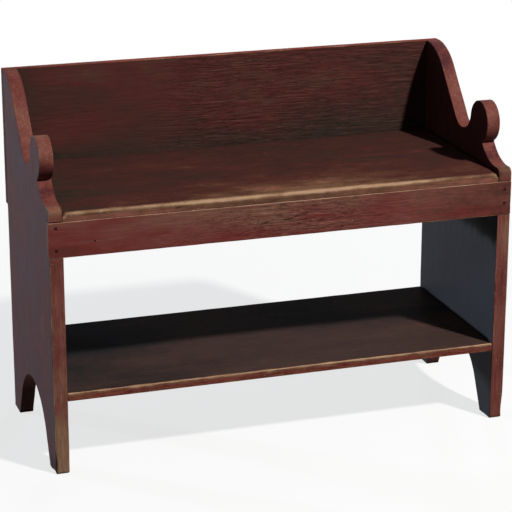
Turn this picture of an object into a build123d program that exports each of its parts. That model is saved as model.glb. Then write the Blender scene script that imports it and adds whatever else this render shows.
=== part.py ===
from build123d import *
import math
import os

# Bucket bench: two end boards cut to a scroll and standing on arched feet, joined by a seat, a lower shelf, a
# front apron and a back board, and held with cut nails.
# Millimetres. +Z is up, +Y runs from the front to the back, and the origin is on the floor under the middle.

# Overall
LENGTH = 1067.0  # outer face to outer face of the ends
HEIGHT = 813.0  # floor to the top of the back board
END_DEPTH = 432.0  # front to back edge of an end board

# Board thicknesses
END_THICK = 32.0
SEAT_THICK = 19.0
SHELF_THICK = 19.0
APRON_THICK = 19.0
BACK_THICK = 19.0

# Heights of the boards
SEAT_HEIGHT = 593.5  # floor to the seat's top
SHELF_HEIGHT = 187.5  # floor to the lower shelf's top
APRON_WIDTH = 78.5  # the apron hangs this far below the seat
BACK_DROP = 78.5  # the back board reaches this far below the seat's underside

# Joints between the boards
HOUSING_DEPTH = 9.0  # how far the seat and the shelf are let into the ends
HOUSING_STOP = 24.0  # the housings stop this far behind the ends' front edges
HOUSING_GAP = 0.3  # clearance above a board in its housing, and beside it in front of that
TONGUE_RELIEF = 0.5  # the seat's and the shelf's ends are planed this much thinner, from the top, to go in
SHOULDER_GAP = 0.7  # clearance beside a board's front corner, in front of the housing
APRON_GAP_ABOVE = 1.6  # the apron's notch is this much taller at the top
APRON_GAP_BELOW = 0.8  # and this much at the bottom

# Front edges
SEAT_SETBACK = 1.5  # seat's front behind the apron's face
SEAT_ROUND = 9.0  # worn round of the seat's front edge
SEAT_CORNER = 5.0  # round of the seat's front corners, seen from above
SHELF_SETBACK = 1.0
ARRIS = 1.5  # softened edges of every board

# Outline of an end board, front to back
STEP_RISE = 11.5  # the step block's top above the seat
STEP_ROUND = 12.0  # round of its front corner
STEP_LENGTH = 21.0  # front edge to the start of the cove
COVE_RADIUS = 95.0
NECK_ROUND = 2.5  # inside corner where the cove runs into the underside of the knob
KNOB_RADIUS = 47.0
KNOB_SETBACK = 117.5  # front edge to the knob's centre
KNOB_RISE = 94.5  # the knob's centre above the seat
NOTCH_RADIUS = 48.0
NOTCH_RISE = 58.5  # bottom of the notch above the seat
SCROLL_RADIUS = 128.0  # the scroll's crest, which ends level at the back edge

# Arched cut-out between the feet
FOOT_WIDTH = 57.0  # of each foot on the floor
ARCH_SPLAY = 64.0  # slope of the feet's inner edges, degrees from the floor
ARCH_COVER = 21.5  # wood between the arch's crown and the shelf

# Cut nails: flat sides, taper on two faces, small rectangular head
NAIL_LENGTH = 57.0
NAIL_THICK = 2.8
NAIL_WIDTH = 4.4  # under the head
NAIL_TIP = 1.8  # width at the tip
NAIL_HEAD_WIDTH = 5.4
NAIL_HEAD_THICK = 4.6
NAIL_HEAD_HEIGHT = 1.6
NAIL_SET = 1.6  # heads are driven this far below the surface

# Where the nails are
APRON_NAIL_TOP = (13.5, 19.3)  # upper nails below the apron's top, left and right
APRON_NAIL_BOTTOM = (15.0, 27.0)  # lower nails above its bottom edge, left and right
END_NAIL_INSET = 62.0  # first and last nail of a row through an end, from its front and back edges
END_NAILS = 3  # nails in each row through an end
BACK_NAIL_INSET = 30.0  # back board's top and bottom edge to the nails in the ends
BACK_NAILS = 3  # nails through the back board into each end
SEAT_NAILS = 4  # nails in each row along the seat
SEAT_NAIL_INSET = 98.0  # outer face of an end to the first of them

# Planes and levels that follow from the sizes above
FRONT = -(END_DEPTH + BACK_THICK) / 2
REAR = FRONT + END_DEPTH  # back edges of the ends, and the back board's front face
BACK_FACE = REAR + BACK_THICK
INNER_X = LENGTH / 2 - END_THICK
END_CENTRE_X = LENGTH / 2 - END_THICK / 2
SEAT_UNDER = SEAT_HEIGHT - SEAT_THICK
SHELF_UNDER = SHELF_HEIGHT - SHELF_THICK
APRON_BOTTOM = SEAT_UNDER - APRON_WIDTH
BACK_BOTTOM = SEAT_UNDER - BACK_DROP


def spread(low, high, count):
    """Evenly spaced values from low to high, both included."""
    return [low + (high - low) * i / (count - 1) for i in range(count)]


def block(x_range, y_range, z_range):
    """A box between two values on each axis."""
    sizes = [high - low for low, high in (x_range, y_range, z_range)]
    corner = (x_range[0], y_range[0], z_range[0])
    return Pos(*corner) * Box(*sizes, align=(Align.MIN, Align.MIN, Align.MIN))


def arc(centre, radius, start, end):
    """An arc about centre from one direction to another, both in degrees."""
    return CenterArc(centre, radius, start, end - start)


def on_circle(centre, radius, degrees):
    """The point of a circle in a direction from its centre."""
    angle = math.radians(degrees)
    return centre[0] + radius * math.cos(angle), centre[1] + radius * math.sin(angle)


def direction(start, end):
    """Direction from one point to another, in degrees."""
    return math.degrees(math.atan2(end[1] - start[1], end[0] - start[0]))


def scroll_edges():
    """Top edge of an end board from its front edge to its back edge, in (y, z) with y from the front edge."""
    step_top = SEAT_HEIGHT + STEP_RISE
    step_centre = (STEP_ROUND, step_top - STEP_ROUND)
    cove = (STEP_LENGTH, step_top + COVE_RADIUS)
    knob = (KNOB_SETBACK, SEAT_HEIGHT + KNOB_RISE)
    notch_z = SEAT_HEIGHT + NOTCH_RISE + NOTCH_RADIUS
    touching = KNOB_RADIUS + NOTCH_RADIUS  # the knob runs smoothly into the notch
    notch = (knob[0] + math.sqrt(touching**2 - (notch_z - knob[1]) ** 2), notch_z)
    crest = (END_DEPTH, HEIGHT - SCROLL_RADIUS)

    # the neck touches the cove from inside and the knob from outside
    cove_reach, knob_reach = COVE_RADIUS - NECK_ROUND, KNOB_RADIUS + NECK_ROUND
    apart = math.dist(cove, knob)
    along = (apart**2 + cove_reach**2 - knob_reach**2) / (2 * apart)
    cove_end = direction(cove, knob) - math.degrees(math.acos(along / cove_reach))
    neck = on_circle(cove, cove_reach, cove_end)

    # the straight run that touches the notch on one side and the crest on the other
    radii = NOTCH_RADIUS + SCROLL_RADIUS
    run = direction(notch, crest) + math.degrees(math.asin(radii / math.dist(notch, crest)))

    # the knob is drawn from the neck over its top to where the notch takes over
    neck_end = direction(neck, knob)
    knob_start = neck_end + 180
    knob_end = direction(knob, notch)
    run_start = on_circle(notch, NOTCH_RADIUS, run - 90)
    run_end = on_circle(crest, SCROLL_RADIUS, run + 90)
    return [
        Line((0, 0), (0, step_centre[1])),
        arc(step_centre, STEP_ROUND, 180, 90),
        Line((STEP_ROUND, step_top), (STEP_LENGTH, step_top)),
        arc(cove, COVE_RADIUS, -90, cove_end),
        arc(neck, NECK_ROUND, cove_end, neck_end),
        arc(knob, KNOB_RADIUS, knob_start, knob_end),
        arc(notch, NOTCH_RADIUS, knob_end + 180, run + 270),
        Line(run_start, run_end),
        arc(crest, SCROLL_RADIUS, run + 90, 90),
        Line((END_DEPTH, HEIGHT), (END_DEPTH, 0)),
    ]


def foot_edges():
    """Bottom edge of an end board from back to front: two feet and the arch between them."""
    splay = math.radians(ARCH_SPLAY)
    half = END_DEPTH / 2 - FOOT_WIDTH
    crown = SHELF_UNDER - ARCH_COVER
    radius = (half * math.sin(splay) - crown * math.cos(splay)) / (1 - math.cos(splay))
    centre = (END_DEPTH / 2, crown - radius)
    rear_side = on_circle(centre, radius, 90 - ARCH_SPLAY)
    front_side = on_circle(centre, radius, 90 + ARCH_SPLAY)
    rear_foot = (END_DEPTH - FOOT_WIDTH, 0)
    front_foot = (FOOT_WIDTH, 0)
    return [
        Line((END_DEPTH, 0), rear_foot),
        Line(rear_foot, rear_side),
        arc(centre, radius, 90 - ARCH_SPLAY, 90 + ARCH_SPLAY),
        Line(front_side, front_foot),
        Line(front_foot, (0, 0)),
    ]


def end_board(side):
    """An end board with its housings and apron notch. side is -1 for the left and 1 for the right."""
    inner = side * INNER_X
    outer = side * LENGTH / 2
    face = make_face(scroll_edges() + foot_edges())
    plane = Plane(origin=(min(inner, outer), FRONT, 0), x_dir=(0, 1, 0), z_dir=(1, 0, 0))
    board = extrude(plane * face, amount=END_THICK)
    outline = board.edges().filter_by(Axis.X, reverse=True)
    board = fillet(outline - outline.group_by(Axis.Y)[-1] - outline.group_by(Axis.Z)[0], ARRIS)
    housing_x = sorted((inner, inner + side * HOUSING_DEPTH))
    housing_y = (FRONT + HOUSING_STOP, REAR)
    for under, top in ((SEAT_UNDER, SEAT_HEIGHT), (SHELF_UNDER, SHELF_HEIGHT)):
        board -= block(housing_x, housing_y, (under, top - TONGUE_RELIEF + HOUSING_GAP))
    notch_z = (APRON_BOTTOM - APRON_GAP_BELOW, SEAT_UNDER + APRON_GAP_ABOVE)
    return board - block(sorted((inner, outer)), (FRONT, FRONT + APRON_THICK), notch_z)


def nose_strip(z_range, setback):
    """Front strip of a board between the ends, which just clears them."""
    reach = INNER_X - SHOULDER_GAP
    return block((-reach, reach), (FRONT + setback, FRONT + HOUSING_STOP + SHOULDER_GAP), z_range)


def housed_board(nose, z_range):
    """A board between the ends: front strip, main part behind it, and tongues that enter the housings."""
    under, top = z_range
    depth = (nose.bounding_box().max.Y, REAR)
    main_x = INNER_X - HOUSING_GAP
    tongue_x = INNER_X + HOUSING_DEPTH
    tongues = block((-tongue_x, tongue_x), depth, (under, top - TONGUE_RELIEF))
    return nose + block((-main_x, main_x), depth, z_range) + tongues


def seat_board():
    z_range = (SEAT_UNDER, SEAT_HEIGHT)
    nose = nose_strip(z_range, SEAT_SETBACK)
    corners = nose.edges().filter_by(Axis.Z).group_by(Axis.Y)[0]
    front = nose.edges().filter_by(Axis.X).group_by(Axis.Y)[0].sort_by(Axis.Z)[-1]
    return housed_board(fillet(corners, SEAT_CORNER) & fillet(front, SEAT_ROUND), z_range)


def lower_shelf():
    z_range = (SHELF_UNDER, SHELF_HEIGHT)
    nose = nose_strip(z_range, SHELF_SETBACK)
    front = nose.edges().filter_by(Axis.X).group_by(Axis.Y)[0]
    return housed_board(fillet(front, ARRIS), z_range)


def apron():
    board = block((-LENGTH / 2, LENGTH / 2), (FRONT, FRONT + APRON_THICK), (APRON_BOTTOM, SEAT_UNDER))
    return fillet(board.faces().sort_by(Axis.Y)[0].edges(), ARRIS)


def back_board():
    board = block((-LENGTH / 2, LENGTH / 2), (REAR, BACK_FACE), (BACK_BOTTOM, HEIGHT))
    rear_corners = board.edges().filter_by(Axis.Z).group_by(Axis.Y)[-1]
    return fillet(board.edges().filter_by(Axis.X) + rear_corners, ARRIS)


def cut_nail():
    """One nail, head up, with the surface it is driven into at the origin."""
    top = -NAIL_SET
    neck = top - NAIL_HEAD_HEIGHT
    tip = top - NAIL_LENGTH
    wide, narrow = NAIL_WIDTH / 2, NAIL_TIP / 2
    profile = Polyline((-wide, neck), (wide, neck), (narrow, tip), (-narrow, tip), close=True)
    shank = extrude(Plane.XZ * make_face(profile), amount=NAIL_THICK / 2, both=True)
    return shank + nail_head(neck, top)


def nail_head(low, high):
    width, thick = NAIL_HEAD_WIDTH / 2, NAIL_HEAD_THICK / 2
    return block((-width, width), (-thick, thick), (low, high))


def nail_hole():
    """What a nail takes out of the boards: itself, and the sunken hole above its head."""
    return cut_nail() + nail_head(-NAIL_SET, NAIL_SET)


def upright(x, y, z, out):
    """Plane of a nail driven against the direction out, its width standing upright."""
    return Plane((x, y, z), x_dir=(0, 0, 1), z_dir=out)


def end_row(side, z):
    """A row of nails through one end into the edge of a board at height z."""
    rows = spread(FRONT + END_NAIL_INSET, REAR - END_NAIL_INSET, END_NAILS)
    return [upright(side * LENGTH / 2, y, z, (side, 0, 0)) for y in rows]


def apron_pair(side, top, bottom):
    """Two nails through one end of the apron, this far below its top and above its bottom edge."""
    heights = (SEAT_UNDER - top, APRON_BOTTOM + bottom)
    return [upright(side * END_CENTRE_X, FRONT, z, (0, -1, 0)) for z in heights]


def back_column(side):
    """The nails through the back board into one end."""
    heights = spread(BACK_BOTTOM + BACK_NAIL_INSET, HEIGHT - BACK_NAIL_INSET, BACK_NAILS)
    return [upright(side * END_CENTRE_X, BACK_FACE, z, (0, 1, 0)) for z in heights]


def nail_places():
    """Planes for the nails of each group: origin on the surface, z out of it, x along the nail's width."""
    seat_z = SEAT_UNDER + SEAT_THICK / 2
    shelf_z = SHELF_UNDER + SHELF_THICK / 2
    seat_x = spread(SEAT_NAIL_INSET - LENGTH / 2, LENGTH / 2 - SEAT_NAIL_INSET, SEAT_NAILS)
    seat_front = FRONT + SEAT_SETBACK + SEAT_ROUND + NAIL_HEAD_THICK / 2
    apron_left, apron_right = zip(APRON_NAIL_TOP, APRON_NAIL_BOTTOM)
    return {
        "apron_nails": apron_pair(-1, *apron_left) + apron_pair(1, *apron_right),
        "seat_end_nails": end_row(-1, seat_z) + end_row(1, seat_z),
        "shelf_end_nails": end_row(-1, shelf_z) + end_row(1, shelf_z),
        "back_end_nails": back_column(-1) + back_column(1),
        "back_seat_nails": [Plane((x, BACK_FACE, seat_z), x_dir=(1, 0, 0), z_dir=(0, 1, 0)) for x in seat_x],
        "seat_apron_nails": [Plane((x, seat_front, SEAT_HEIGHT), x_dir=(1, 0, 0)) for x in seat_x],
    }


# The boards that each group of nails goes through
NAILED = {
    "apron_nails": ("apron", "left_end", "right_end"),
    "seat_end_nails": ("seat_board", "left_end", "right_end"),
    "shelf_end_nails": ("lower_shelf", "left_end", "right_end"),
    "back_end_nails": ("back_board", "left_end", "right_end"),
    "back_seat_nails": ("back_board", "seat_board"),
    "seat_apron_nails": ("seat_board", "apron"),
}


def build():
    """Every node of the bench by name."""
    nodes = {
        "left_end": end_board(-1),
        "right_end": end_board(1),
        "back_board": back_board(),
        "seat_board": seat_board(),
        "apron": apron(),
        "lower_shelf": lower_shelf(),
    }
    nail, hole = cut_nail(), nail_hole()
    for group, planes in nail_places().items():
        for board in NAILED[group]:
            nodes[board] -= [plane.location * hole for plane in planes]
        nodes[group] = Compound([plane.location * nail for plane in planes])
    return nodes


os.makedirs("parts", exist_ok=True)
for name, shape in build().items():
    export_step(shape, f"parts/{name}.step")
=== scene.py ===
import math

import bmesh
import bpy
import numpy as np
from mathutils import Matrix, Vector
from mathutils.geometry import delaunay_2d_cdt


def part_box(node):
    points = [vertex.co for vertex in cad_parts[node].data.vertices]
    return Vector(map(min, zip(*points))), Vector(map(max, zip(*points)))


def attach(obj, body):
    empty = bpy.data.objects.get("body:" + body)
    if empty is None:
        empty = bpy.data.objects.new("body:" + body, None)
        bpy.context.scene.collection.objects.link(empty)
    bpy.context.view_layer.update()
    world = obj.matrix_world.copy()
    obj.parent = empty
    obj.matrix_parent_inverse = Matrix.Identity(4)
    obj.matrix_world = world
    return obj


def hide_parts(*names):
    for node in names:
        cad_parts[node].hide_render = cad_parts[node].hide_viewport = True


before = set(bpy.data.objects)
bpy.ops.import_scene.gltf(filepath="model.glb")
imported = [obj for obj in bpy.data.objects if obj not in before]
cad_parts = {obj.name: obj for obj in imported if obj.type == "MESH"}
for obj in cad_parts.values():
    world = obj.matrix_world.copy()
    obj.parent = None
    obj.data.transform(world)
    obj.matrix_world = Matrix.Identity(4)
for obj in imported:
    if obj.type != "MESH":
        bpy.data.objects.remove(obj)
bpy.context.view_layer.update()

scene = bpy.context.scene

# Lengths are millimetres until a mesh is made, other than those of the camera and the lamps.
MM = 0.001  # turns them into Blender's metres
SHARP_ROUND, BASE_ROUND = 0.5, 1.5  # edges that stay sharp, and softened ones
SEAT_ROUND, SEAT_CORNER = 9.0, 8.0  # worn round of the seat's front edge, and of its corners beside the ends
SHELF_ROUND, SHELF_CORNER = 2.4, 2.0
FACING = 0.7  # a face looks along an axis when that part of its normal is larger


# ---- noise
# seed picks the pattern: each use has one of its own.

def lattice(cell, seed):
    """A repeatable value from -1 to 1 for each integer cell."""
    mixed = (cell[:, 0] * 73856093) ^ (cell[:, 1] * 19349663) ^ (cell[:, 2] * 83492791) ^ (seed * 40503)
    mixed = ((mixed ^ (mixed >> 13)) * 1274126177) & 0xFFFFFFFF
    mixed ^= mixed >> 16
    return (mixed & 0xFFFF) / 32767.5 - 1


def noise(points, size, seed):
    """Smooth noise from -1 to 1. size is how far it takes to change along x, y and z."""
    place = points / np.asarray(size, float) + 512.37
    cell = np.floor(place).astype(np.int64)
    t = place - cell
    t = t * t * (3 - 2 * t)
    total = np.zeros(len(points))
    for corner in np.ndindex(2, 2, 2):
        weight = np.prod(np.where(corner, t, 1 - t), axis=1)
        total += weight * lattice(cell + corner, seed)
    return total


def fractal(points, size, seed, octaves=3):
    """Noise with finer and weaker noise added to it."""
    size = np.asarray(size, float)
    return sum(noise(points, size / 2**i, seed + i) / 2**i for i in range(octaves))


def creases(points, size, seed, width=0.3):
    """1 along thin wandering lines and 0 between them. size is as for noise."""
    wander = 4.0 * np.stack([noise(points, 65 + 5 * i, seed + i) for i in (1, 2, 3)], axis=1)
    return np.clip(1 - abs(noise(points + wander, size, seed)) / width, 0, 1)


def smooth(low, high, values):
    """0 below low, 1 above high, and a smooth step between them."""
    t = np.clip((values - low) / (high - low), 0, 1)
    return t * t * (3 - 2 * t)


def fade(low, high, values):
    """1 below low, 0 above high, and a smooth step between them."""
    return 1 - smooth(low, high, values)


# ---- meshes

# Rows of points beside an edge, a rounded edge and a nail, by their distance from it.
EDGE_BAND = (0, 0.4, 0.8, 1.3, 2.0, 3.2, 5.5)
ROUND_BAND = (0, 0.7, 1.5, 2.4, 3.4, 4.5, 5.6, 6.7, 7.8, 8.8, 9.6, 11, 13.5)
NAIL_BAND = (0, 1.0, 1.9, 2.3, 2.75, 3.5, 5.0)
DENT_BAND = (0, 2.0, 4.0)
APRON_BAND = (0, 1.2, 2.1, 2.7, 3.3, 4.5)
ROW_GAP = 0.15  # rows closer than this are left out


def stops(low, high, step, first=EDGE_BAND, last=EDGE_BAND, near=(), band=NAIL_BAND):
    """Grid positions from low to high: close together at both ends and near the given places."""
    rows = [low + d for d in first] + [high - d for d in last]
    rows += [place + sign * d for place in near for d in band for sign in (-1, 1)]
    inner_low, inner_high = low + first[-1], high - last[-1]
    count = max(2, round((inner_high - inner_low) / step))
    rows += list(np.linspace(inner_low, inner_high, count + 1))
    kept = []
    for value in sorted(v for v in rows if low <= v <= high):
        if not kept or value - kept[-1] > ROW_GAP:
            kept.append(value)
    kept[-1] = high
    return np.array(kept)


def shell(xs, ys, zs):
    """A closed box of quads over three rows of grid positions: its points and faces."""
    outside = np.zeros((len(xs), len(ys), len(zs)), bool)
    outside[[0, -1]] = True
    outside[:, [0, -1]] = True
    outside[:, :, [0, -1]] = True
    index = np.full(outside.shape, -1)
    index[outside] = np.arange(outside.sum())
    i, j, k = np.nonzero(outside)
    faces = []
    for axis in range(3):
        for end in (0, -1):
            side = np.moveaxis(index, axis, 0)[end]
            quads = np.stack([side[:-1, :-1], side[1:, :-1], side[1:, 1:], side[:-1, 1:]], -1).reshape(-1, 4)
            faces.append(quads[:, ::-1] if (end == 0) != (axis == 1) else quads)
    return np.c_[xs[i], ys[j], zs[k]], np.vstack(faces)


def rounded(points, low, high, radius):
    """A box's points with its edges rounded by radius, one value for each point."""
    r = radius[:, None]
    core = np.clip(points, low + r, high - r)
    out = points - core
    return core + out * r / np.maximum(np.linalg.norm(out, axis=1, keepdims=True), 1e-9)


def new_object(name, data):
    made = bpy.data.objects.new(name, data)
    scene.collection.objects.link(made)
    return made


def new_mesh(name, points, faces):
    """An object with a smooth mesh, every face of it turned so that its normal points out."""
    mesh = bpy.data.meshes.new(name)
    mesh.from_pydata((np.asarray(points) * MM).tolist(), [], [list(map(int, f)) for f in faces])
    work = bmesh.new()
    work.from_mesh(mesh)
    bmesh.ops.recalc_face_normals(work, faces=work.faces)
    work.to_mesh(mesh)
    work.free()
    mesh.shade_smooth()
    return new_object(name, mesh)


def coordinates(mesh, what="co"):
    values = np.zeros(len(mesh.vertices) * 3, np.float32)
    mesh.vertices.foreach_get(what, values)
    return values.reshape(-1, 3).astype(float)


def points_of(piece):
    return coordinates(piece.data) / MM


def move_points(piece, points):
    piece.data.vertices.foreach_set("co", (points * MM).astype(np.float32).ravel())
    piece.data.update()


def carve(piece, depth, low, high):
    """Pushes every point in along its normal by depth(points, normals), and keeps it in the box."""
    points, normals = points_of(piece), coordinates(piece.data, "normal")
    moved = points - normals * depth(points, normals).clip(0)[:, None]
    move_points(piece, moved.clip(low, high))


def combine(piece, other, operation):
    """Applies a boolean with another object, which is then removed."""
    modifier = piece.modifiers.new("combine", "BOOLEAN")
    modifier.object, modifier.operation, modifier.solver = other, operation, "EXACT"
    bpy.context.view_layer.update()
    made = bpy.data.meshes.new_from_object(piece.evaluated_get(bpy.context.evaluated_depsgraph_get()))
    piece.modifiers.clear()
    piece.data = made
    bpy.data.objects.remove(other)


def plain_box(low, high):
    return new_mesh("cutter", *shell(*(np.array([a, b]) for a, b in zip(low, high))))


def node_box(name):
    """Lowest and highest corner of a CAD node in millimetres."""
    low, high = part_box(name)
    return np.array(low) / MM, np.array(high) / MM


def box_edge(points, low, high):
    """How far each point of a box's surface is from the nearest edge of the box."""
    to_faces = np.minimum(points - low, high - points).clip(0)
    return np.sort(to_faces, axis=1)[:, 1]


# ---- sizes shared by the pieces

END_LOW, END_HIGH = node_box("left_end")
END_THICK, END_DEPTH, _ = END_HIGH - END_LOW
INNER_X = -END_HIGH[0]
FRONT = END_LOW[1]
REAR = END_HIGH[1]
SEAT_LOW, SEAT_HIGH = node_box("seat_board")
SHELF_LOW, SHELF_HIGH = node_box("lower_shelf")
APRON_LOW, APRON_HIGH = node_box("apron")
BACK_LOW, BACK_HIGH = node_box("back_board")
SEAT_TOP, SHELF_TOP = SEAT_HIGH[2], SHELF_HIGH[2]
HOUSING_STOP = 24.0  # from the front edge to the housings and the tongues
HOUSING_SPARE = 0.05  # how far a housing is cut past the tongue's end and the board's underside
HOUSING_COVER = 0.2  # and how far it stays below the board's top
TONGUE_INSET = ((0.05, 0.8, 0.6), (0.05, 0.5, 0.8))  # of a tongue in its board: low and high corner
NOSE_GAP = 0.15  # beside the seat and the shelf, before they enter the ends
NAIL_REACH, NAIL_WIDTH = 80.0, 10.0  # points this near, along and across, are of one nail


def nail_places(node, axis):
    """The middle of each nail of a CAD node, as (x, y, z) in millimetres. axis is the way the nails run."""
    apart = np.full(3, NAIL_WIDTH)
    apart[axis] = NAIL_REACH
    groups = []
    for point in points_of(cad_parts[node]):
        near = next((g for g in groups if (abs(g[0] - point) < apart).all()), None)
        groups.append([point]) if near is None else near.append(point)
    return [(np.min(g, axis=0) + np.max(g, axis=0)) / 2 for g in groups]


def pit(across, along, half_across, half_along, depth, wall=1.2):
    """Depth of a steep rectangular hole at each point, from its distances to the middle."""
    reach = np.maximum(abs(across) / half_across, abs(along) / half_along)
    return depth * fade(1.0, wall, reach)


def dents(points, places, axes, radius, depth):
    """Depth of shallow round dents at each point. axes are the two that the face runs along."""
    total = 0
    for place in places:
        away = np.hypot(*(points[:, a] - place[a] for a in axes))
        total = total + depth * fade(0.25 * radius, radius, away)
    return total


def patch(points, middle, reach):
    """1 at a place and fading to 0 around it. middle and reach are (x, y, z); None leaves an axis out."""
    far = sum(((points[:, a] - middle[a]) / reach[a]) ** 2 for a in range(3) if reach[a])
    return np.exp(-far)


def blots(points, table):
    """The sum of patches, each given as (amount, middle, reach)."""
    return sum(amount * patch(points, middle, reach) for amount, middle, reach in table)


# ---- end boards

STEP_TOP = SEAT_TOP + 11.5
STEP_ROUND = 12.0
COVE, COVE_RADIUS = (21.0, STEP_TOP + 95.0), 95.0
KNOB, KNOB_RADIUS = (117.5, SEAT_TOP + 94.5), 47.0
NOTCH_RADIUS, NOTCH_RISE = 48.0, 58.5
CREST_RADIUS = 128.0
NECK_RADIUS = 2.5
FOOT_WIDTH, ARCH_SPLAY, ARCH_COVER = 57.0, 64.0, 21.5
APRON_GAP_BELOW = 0.8  # in the apron's notch
APRON_GAP_ABOVE = {-1: 1.6, 1: 0.9}  # left and right
TOE_ROUND, HEEL_ROUND, ARCH_ROUND = 5.5, 4.0, 3.0  # the feet's corners: front, rear and beside the arch
LIP_ROUND, CORNER_ROUND = 2.0, 1.4  # below the apron, and the front and rear corners above it
FOOT_TAPER = 1.3  # how much the outer face loses at the foot
OUTLINE_STEP = 5.0


def on_circle(centre, radius, degrees):
    angle = math.radians(degrees)
    return np.array([centre[0] + radius * math.cos(angle), centre[1] + radius * math.sin(angle)])


def direction(start, end):
    return math.degrees(math.atan2(end[1] - start[1], end[0] - start[0]))


def arc(centre, radius, start, end, step=2.2):
    count = max(4, math.ceil(abs(math.radians(end - start)) * radius / step))
    return [on_circle(centre, radius, a) for a in np.linspace(start, end, count + 1)]


def corner(before, place, after, radius):
    """A rounded corner as points."""
    place = np.asarray(place, float)
    a, b = np.asarray(before, float) - place, np.asarray(after, float) - place
    a, b = a / np.linalg.norm(a), b / np.linalg.norm(b)
    half = math.acos(np.clip(a @ b, -1, 1)) / 2
    reach = radius / math.tan(half)
    centre = place + (a + b) / np.linalg.norm(a + b) * radius / math.sin(half)
    start, end = direction(centre, place + a * reach), direction(centre, place + b * reach)
    turn = (end - start + 180) % 360 - 180
    return [on_circle(centre, radius, start + turn * t) for t in np.linspace(0, 1, 6)]


def scroll_points():
    """The shaped top of an end board from the step block to the crest, in (y from the front edge, z)."""
    notch_z = SEAT_TOP + NOTCH_RISE + NOTCH_RADIUS
    notch = (KNOB[0] + math.sqrt((KNOB_RADIUS + NOTCH_RADIUS) ** 2 - (notch_z - KNOB[1]) ** 2), notch_z)
    crest = (END_DEPTH, BACK_HIGH[2] - CREST_RADIUS)
    cove_reach, knob_reach = COVE_RADIUS - NECK_RADIUS, KNOB_RADIUS + NECK_RADIUS
    apart = math.dist(COVE, KNOB)
    along = (apart**2 + cove_reach**2 - knob_reach**2) / (2 * apart)
    cove_end = direction(COVE, KNOB) - math.degrees(math.acos(along / cove_reach))
    neck = on_circle(COVE, cove_reach, cove_end)
    neck_end = direction(neck, KNOB)
    knob_end = direction(KNOB, notch)
    lean = math.asin((NOTCH_RADIUS + CREST_RADIUS) / math.dist(notch, crest))
    run = direction(notch, crest) + math.degrees(lean)
    return (
        arc((STEP_ROUND, STEP_TOP - STEP_ROUND), STEP_ROUND, 180, 90)
        + arc(COVE, COVE_RADIUS, -90, cove_end)
        + arc(neck, NECK_RADIUS, cove_end, neck_end, 0.6)[1:]
        + arc(KNOB, KNOB_RADIUS, neck_end + 180, knob_end)[1:]
        + arc(notch, NOTCH_RADIUS, knob_end + 180, run + 270)[1:]
        + arc(crest, CREST_RADIUS, run + 90, 90)[:-1]
    )


def outline(side):
    """An end board's whole outline in (y from the front edge, z), up the front and over the top."""
    apron_low, apron_high = APRON_LOW[2] - APRON_GAP_BELOW, APRON_HIGH[2] + APRON_GAP_ABOVE[side]
    apron_depth = APRON_HIGH[1] - APRON_LOW[1]
    half, crown = END_DEPTH / 2 - FOOT_WIDTH, SHELF_LOW[2] - ARCH_COVER
    splay = math.radians(ARCH_SPLAY)
    radius = (half * math.sin(splay) - crown * math.cos(splay)) / (1 - math.cos(splay))
    arch = arc((END_DEPTH / 2, crown - radius), radius, 90 - ARCH_SPLAY, 90 + ARCH_SPLAY)
    scroll = scroll_points()
    plan = [
        ((0, 0), TOE_ROUND), ((0, apron_low), LIP_ROUND),
        ((apron_depth, apron_low), SHARP_ROUND), ((apron_depth, apron_high), SHARP_ROUND),
        ((0, apron_high), CORNER_ROUND), *((p, 0) for p in scroll),
        ((END_DEPTH, BACK_HIGH[2]), CORNER_ROUND), ((END_DEPTH, 0), HEEL_ROUND),
        ((END_DEPTH - FOOT_WIDTH, 0), ARCH_ROUND), *((p, 0) for p in arch), ((FOOT_WIDTH, 0), ARCH_ROUND),
    ]
    path = []
    for i, (place, round_) in enumerate(plan):
        before, after = plan[i - 1][0], plan[(i + 1) % len(plan)][0]
        path += corner(before, place, after, round_) if round_ else [np.asarray(place, float)]
    filled = []
    for a, b in zip(path, path[1:] + path[:1]):
        count = max(1, round(np.linalg.norm(b - a) / OUTLINE_STEP))
        filled += [a + (b - a) * i / count for i in range(count)]
    return np.array(filled)


def turn_limit(wanted, lengths, turns):
    """Edge radius along the outline: as wanted, but never too large for its own corners."""
    with np.errstate(divide="ignore"):
        tight = np.where(turns < -0.01, lengths / np.maximum(-turns, 1e-6) * 0.8, 99)
    radius = np.minimum(wanted, tight)
    for _ in range(40):
        radius = np.minimum(radius, np.minimum(np.roll(radius, 1), np.roll(radius, -1)) + 0.35 * lengths)
    return radius


def inward(path):
    """Unit normals into the board, the length that each point stands for, and its turn (minus is convex)."""
    forward, backward = np.roll(path, -1, 0) - path, path - np.roll(path, 1, 0)
    lf, lb = np.linalg.norm(forward, axis=1), np.linalg.norm(backward, axis=1)
    f, b = forward / lf[:, None], backward / lb[:, None]
    tangent = f / lf[:, None] + b / lb[:, None]
    tangent /= np.linalg.norm(tangent, axis=1, keepdims=True)
    turn = b[:, 0] * f[:, 1] - b[:, 1] * f[:, 0]
    return np.c_[tangent[:, 1], -tangent[:, 0]], (lf + lb) / 2, turn


RING_ANGLES = np.radians((0, 22.5, 45, 67.5, 90))  # rows of points around an edge
BANDS = (6.0, 9.5, 15.0)  # rows of points on an end's faces, by their distance from its outline
GRID_STEP, GRID_START = 11.0, 17.0  # the points inside them
NAIL_RINGS = (0.01, 1.2, 2.2, 3.2, 4.5, 7.0)


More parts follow.
